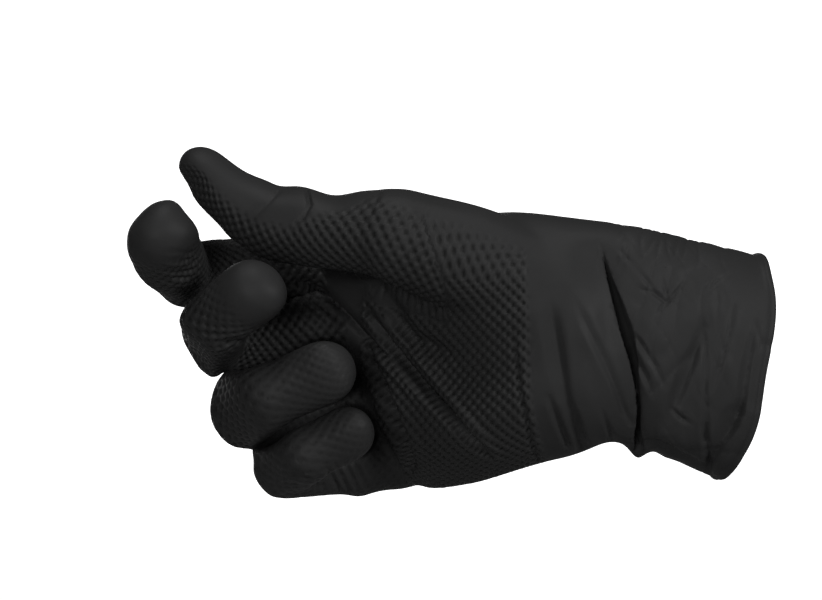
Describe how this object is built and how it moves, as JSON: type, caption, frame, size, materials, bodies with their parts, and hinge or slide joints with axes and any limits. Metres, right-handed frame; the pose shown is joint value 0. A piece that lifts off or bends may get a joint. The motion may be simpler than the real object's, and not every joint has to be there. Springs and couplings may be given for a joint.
{
  "type": "nitrile exam glove",
  "caption": "Thin dipped work glove with a raised grip texture, a smooth cuff and a rolled rim, in the form it has on a right hand that closes round a bar.",
  "frame": {"origin": "The middle of the cuff's mouth, where the hand goes in.", "axes": "+X points out of the cuff's mouth, along the glove's length. -Y is the palm side. +Z is the thumb side."},
  "size_m": [0.1815, 0.0667, 0.0986],
  "materials": {
    "nitrile": "matt black film"
  },
  "bodies": {
    "root": {"glove": "nitrile"}
  },
  "joints": []
}
